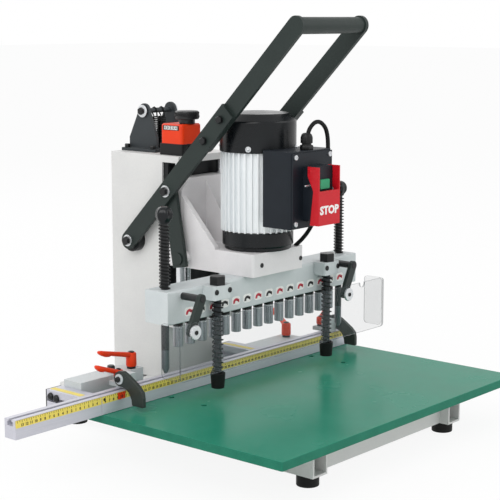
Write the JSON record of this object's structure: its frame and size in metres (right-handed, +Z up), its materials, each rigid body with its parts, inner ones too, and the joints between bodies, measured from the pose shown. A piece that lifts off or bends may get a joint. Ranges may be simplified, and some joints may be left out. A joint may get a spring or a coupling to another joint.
{
  "type": "line boring machine",
  "caption": "Bench line boring machine: a lever lowers a motor head with a row of spindles over a table with fence, stops, hold-downs and a clear guard.",
  "frame": {"origin": "on the floor at the centre of the base's four bench bolts, under the middle spindle", "axes": "+Z up, -Y towards the operator, +X along the row of spindles to the operator's right"},
  "size_m": [0.9287, 0.683, 0.7929],
  "materials": {
    "light_grey_paint": "satin",
    "cast_grey": "satin",
    "case_grey": "satin",
    "black_steel": "satin",
    "dark_grey_paint": "satin",
    "bright_bar": "polished",
    "motor_alloy": "satin",
    "extrusion": "brushed",
    "chuck_steel": "satin",
    "green_laminate": "satin",
    "rubber_black": "matte",
    "black_plastic": "matte",
    "slate_plastic": "matte",
    "orange_plastic": "gloss",
    "red_plastic": "gloss",
    "green_plastic": "gloss",
    "clear_plastic": "clear",
    "spring_black": "satin"
  },
  "bodies": {
    "frame": {"base_frame": "light_grey_paint", "rubber_feet": "rubber_black", "table": "green_laminate", "column": "light_grey_paint", "way_plate": "black_steel", "guide_bars": "bright_bar", "spring_bracket": "dark_grey_paint", "return_springs": "spring_black", "position_indicator": "orange_plastic", "rail_saddles": "case_grey"},
    "head": {"head_casting": "cast_grey", "spindle_box": "case_grey", "motor_body": "motor_alloy", "motor_covers": "black_steel", "switch_box": "slate_plastic", "switch_cover": "slate_plastic", "cables": "rubber_black", "hold_down_blocks": "light_grey_paint", "link_pins": "bright_bar", "index_spring_left": "spring_black", "index_spring_right": "spring_black", "hold_down_springs": "spring_black"},
    "lever": {"lever_bars": "dark_grey_paint", "lever_pins": "bright_bar"},
    "links": {"links": "dark_grey_paint"},
    "fence": {"fence": "extrusion", "stop_bases": "case_grey"},
    "saddle_lever_left": {"saddle_lever_left": "orange_plastic"},
    "saddle_lever_right": {"saddle_lever_right": "orange_plastic"},
    "stop_arm_left": {"stop_arm_left": "dark_grey_paint"},
    "stop_arm_right": {"stop_arm_right": "dark_grey_paint"},
    "stop_lever_left": {"stop_lever_left": "orange_plastic"},
    "stop_lever_right": {"stop_lever_right": "orange_plastic"},
    "depth_screw": {"depth_screw": "black_plastic"},
    "stop_nut": {"stop_nut": "black_steel"},
    "stop_paddle": {"stop_paddle": "red_plastic"},
    "start_button": {"start_button": "green_plastic"},
    "index_pin_left": {"index_pin_left": "black_steel"},
    "index_pin_right": {"index_pin_right": "black_steel"},
    "hold_down_left": {"hold_down_left": "black_plastic"},
    "hold_down_right": {"hold_down_right": "black_plastic"},
    "guard_arm_left": {"guard_arm_left": "dark_grey_paint"},
    "guard_arm_right": {"guard_arm_right": "dark_grey_paint"},
    "guard_panel": {"guard_panel": "clear_plastic"},
    "spindle_01": {"spindle_01": "chuck_steel"},
    "spindle_02": {"spindle_02": "chuck_steel"},
    "spindle_03": {"spindle_03": "chuck_steel"},
    "spindle_04": {"spindle_04": "chuck_steel"},
    "spindle_05": {"spindle_05": "chuck_steel"},
    "spindle_06": {"spindle_06": "chuck_steel"},
    "spindle_07": {"spindle_07": "chuck_steel"},
    "spindle_08": {"spindle_08": "chuck_steel"},
    "spindle_09": {"spindle_09": "chuck_steel"},
    "spindle_10": {"spindle_10": "chuck_steel"},
    "spindle_11": {"spindle_11": "chuck_steel"},
    "spindle_12": {"spindle_12": "chuck_steel"},
    "spindle_13": {"spindle_13": "chuck_steel"},
    "spindle_14": {"spindle_14": "chuck_steel"},
    "spindle_15": {"spindle_15": "chuck_steel"}
  },
  "joints": [
    {"name": "head_slide", "type": "slide", "parent": "frame", "child": "head", "axis": [0, 0, -1], "range_m": [0, 0.06], "stiffness_N_per_m": 3000, "springref_m": -0.22, "deforming": ["return_springs"]},
    {"name": "lever_hinge", "type": "hinge", "parent": "frame", "child": "lever", "pos_m": [0, 0.2475, 0.355], "axis": [1, 0, 0], "range_deg": [0, 27.1]},
    {"name": "link_hinge", "type": "hinge", "parent": "head", "child": "links", "pos_m": [0, 0.12, 0.331], "axis": [1, 0, 0], "range_deg": [0, 16.1]},
    {"name": "hold_down_left_slide", "type": "slide", "parent": "head", "child": "hold_down_left", "axis": [0, 0, 1], "range_m": [0, 0.042], "deforming": ["hold_down_springs"]},
    {"name": "hold_down_right_slide", "type": "slide", "parent": "head", "child": "hold_down_right", "axis": [0, 0, 1], "range_m": [0, 0.042], "deforming": ["hold_down_springs"]},
    {"name": "index_left_slide", "type": "slide", "parent": "head", "child": "index_pin_left", "axis": [0, 0, 1], "range_m": [-0.055, 0], "stiffness_N_per_m": 300, "springref_m": 0.03, "deforming": ["index_spring_left"]},
    {"name": "index_right_slide", "type": "slide", "parent": "head", "child": "index_pin_right", "axis": [0, 0, 1], "range_m": [-0.055, 0], "stiffness_N_per_m": 300, "springref_m": 0.03, "deforming": ["index_spring_right"]},
    {"name": "guard_left_hinge", "type": "hinge", "parent": "head", "child": "guard_arm_left", "pos_m": [-0.241, -0.073, 0.3], "axis": [0, 1, 0], "range_deg": [0, 60]},
    {"name": "guard_right_hinge", "type": "hinge", "parent": "head", "child": "guard_arm_right", "pos_m": [0.207, -0.073, 0.3], "axis": [0, 1, 0], "range_deg": [0, 60]},
    {"name": "guard_panel_hinge", "type": "hinge", "parent": "guard_arm_left", "child": "guard_panel", "pos_m": [-0.268, -0.08, 0.246], "axis": [0, 1, 0], "range_deg": [-60, 0]},
    {"name": "paddle_hinge", "type": "hinge", "parent": "head", "child": "stop_paddle", "pos_m": [0, -0.151, 0.514], "axis": [-1, 0, 0], "range_deg": [-3, 75], "stiffness_Nm_per_rad": 2},
    {"name": "start_button_slide", "type": "slide", "parent": "head", "child": "start_button", "axis": [0, 1, 0], "range_m": [0, 0.003], "stiffness_N_per_m": 600},
    {"name": "depth_screw_turn", "type": "hinge", "parent": "frame", "child": "depth_screw", "pos_m": [-0.038, 0.148, 0.6], "axis": [0, 0, 1], "range_deg": [-3600, 0]},
    {"name": "stop_nut_slide", "type": "slide", "parent": "frame", "child": "stop_nut", "axis": [0, 0, -1], "range_m": [-0.05, 0]},
    {"name": "fence_slide", "type": "slide", "parent": "frame", "child": "fence", "axis": [0, 1, 0], "range_m": [-0.03, 0.01]},
    {"name": "saddle_left_turn", "type": "hinge", "parent": "frame", "child": "saddle_lever_left", "pos_m": [-0.233, 0.1125, 0.143], "axis": [0, 0, 1], "range_deg": [-60, 0]},
    {"name": "saddle_right_turn", "type": "hinge", "parent": "frame", "child": "saddle_lever_right", "pos_m": [0.24, 0.124, 0.118], "axis": [0, 0, 1], "range_deg": [-60, 30]},
    {"name": "stop_left_flip", "type": "hinge", "parent": "fence", "child": "stop_arm_left", "pos_m": [-0.316, 0.054, 0.149], "axis": [-1, 0, 0], "range_deg": [0, 95]},
    {"name": "stop_right_flip", "type": "hinge", "parent": "fence", "child": "stop_arm_right", "pos_m": [0.316, 0.054, 0.149], "axis": [-1, 0, 0], "range_deg": [0, 95]},
    {"name": "stop_left_turn", "type": "hinge", "parent": "fence", "child": "stop_lever_left", "pos_m": [-0.2997, 0.078, 0.138], "axis": [0, 0, -1], "range_deg": [0, 45]},
    {"name": "stop_right_turn", "type": "hinge", "parent": "fence", "child": "stop_lever_right", "pos_m": [0.2997, 0.078, 0.138], "axis": [0, 0, 1], "range_deg": [0, 30]},
    {"name": "spindle_01_spin", "type": "hinge", "parent": "head", "child": "spindle_01", "pos_m": [-0.224, 0, 0.23], "axis": [0, 0, 1], "continuous": true},
    {"name": "spindle_02_spin", "type": "hinge", "parent": "head", "child": "spindle_02", "pos_m": [-0.192, 0, 0.23], "axis": [0, 0, 1], "continuous": true},
    {"name": "spindle_03_spin", "type": "hinge", "parent": "head", "child": "spindle_03", "pos_m": [-0.16, 0, 0.23], "axis": [0, 0, 1], "continuous": true},
    {"name": "spindle_04_spin", "type": "hinge", "parent": "head", "child": "spindle_04", "pos_m": [-0.128, 0, 0.23], "axis": [0, 0, 1], "continuous": true},
    {"name": "spindle_05_spin", "type": "hinge", "parent": "head", "child": "spindle_05", "pos_m": [-0.096, 0, 0.23], "axis": [0, 0, 1], "continuous": true},
    {"name": "spindle_06_spin", "type": "hinge", "parent": "head", "child": "spindle_06", "pos_m": [-0.064, 0, 0.23], "axis": [0, 0, 1], "continuous": true},
    {"name": "spindle_07_spin", "type": "hinge", "parent": "head", "child": "spindle_07", "pos_m": [-0.032, 0, 0.23], "axis": [0, 0, 1], "continuous": true},
    {"name": "spindle_08_spin", "type": "hinge", "parent": "head", "child": "spindle_08", "pos_m": [0, 0, 0.23], "axis": [0, 0, 1], "continuous": true},
    {"name": "spindle_09_spin", "type": "hinge", "parent": "head", "child": "spindle_09", "pos_m": [0.032, 0, 0.23], "axis": [0, 0, 1], "continuous": true},
    {"name": "spindle_10_spin", "type": "hinge", "parent": "head", "child": "spindle_10", "pos_m": [0.064, 0, 0.23], "axis": [0, 0, 1], "continuous": true},
    {"name": "spindle_11_spin", "type": "hinge", "parent": "head", "child": "spindle_11", "pos_m": [0.096, 0, 0.23], "axis": [0, 0, 1], "continuous": true},
    {"name": "spindle_12_spin", "type": "hinge", "parent": "head", "child": "spindle_12", "pos_m": [0.128, 0, 0.23], "axis": [0, 0, 1], "continuous": true},
    {"name": "spindle_13_spin", "type": "hinge", "parent": "head", "child": "spindle_13", "pos_m": [0.16, 0, 0.23], "axis": [0, 0, 1], "continuous": true},
    {"name": "spindle_14_spin", "type": "hinge", "parent": "head", "child": "spindle_14", "pos_m": [0.192, 0, 0.23], "axis": [0, 0, 1], "continuous": true},
    {"name": "spindle_15_spin", "type": "hinge", "parent": "head", "child": "spindle_15", "pos_m": [0.224, 0, 0.23], "axis": [0, 0, 1], "continuous": true}
  ],
  "couplings": [
    {"joint": "lever_hinge", "follows": "head_slide", "rad_per_m": 7.8239},
    {"joint": "link_hinge", "follows": "head_slide", "rad_per_m": 4.6445},
    {"joint": "hold_down_left_slide", "follows": "head_slide", "ratio": 0.645},
    {"joint": "hold_down_right_slide", "follows": "head_slide", "ratio": 0.645},
    {"joint": "guard_right_hinge", "follows": "guard_left_hinge", "ratio": 1},
    {"joint": "guard_panel_hinge", "follows": "guard_left_hinge", "ratio": -1},
    {"joint": "stop_nut_slide", "follows": "depth_screw_turn", "m_per_rad": 0.00079577},
    {"joint": "spindle_01_spin", "follows": "spindle_08_spin", "ratio": -1},
    {"joint": "spindle_02_spin", "follows": "spindle_08_spin", "ratio": 1},
    {"joint": "spindle_03_spin", "follows": "spindle_08_spin", "ratio": -1},
    {"joint": "spindle_04_spin", "follows": "spindle_08_spin", "ratio": 1},
    {"joint": "spindle_05_spin", "follows": "spindle_08_spin", "ratio": -1},
    {"joint": "spindle_06_spin", "follows": "spindle_08_spin", "ratio": 1},
    {"joint": "spindle_07_spin", "follows": "spindle_08_spin", "ratio": -1},
    {"joint": "spindle_09_spin", "follows": "spindle_08_spin", "ratio": -1},
    {"joint": "spindle_10_spin", "follows": "spindle_08_spin", "ratio": 1},
    {"joint": "spindle_11_spin", "follows": "spindle_08_spin", "ratio": -1},
    {"joint": "spindle_12_spin", "follows": "spindle_08_spin", "ratio": 1},
    {"joint": "spindle_13_spin", "follows": "spindle_08_spin", "ratio": -1},
    {"joint": "spindle_14_spin", "follows": "spindle_08_spin", "ratio": 1},
    {"joint": "spindle_15_spin", "follows": "spindle_08_spin", "ratio": -1}
  ]
}
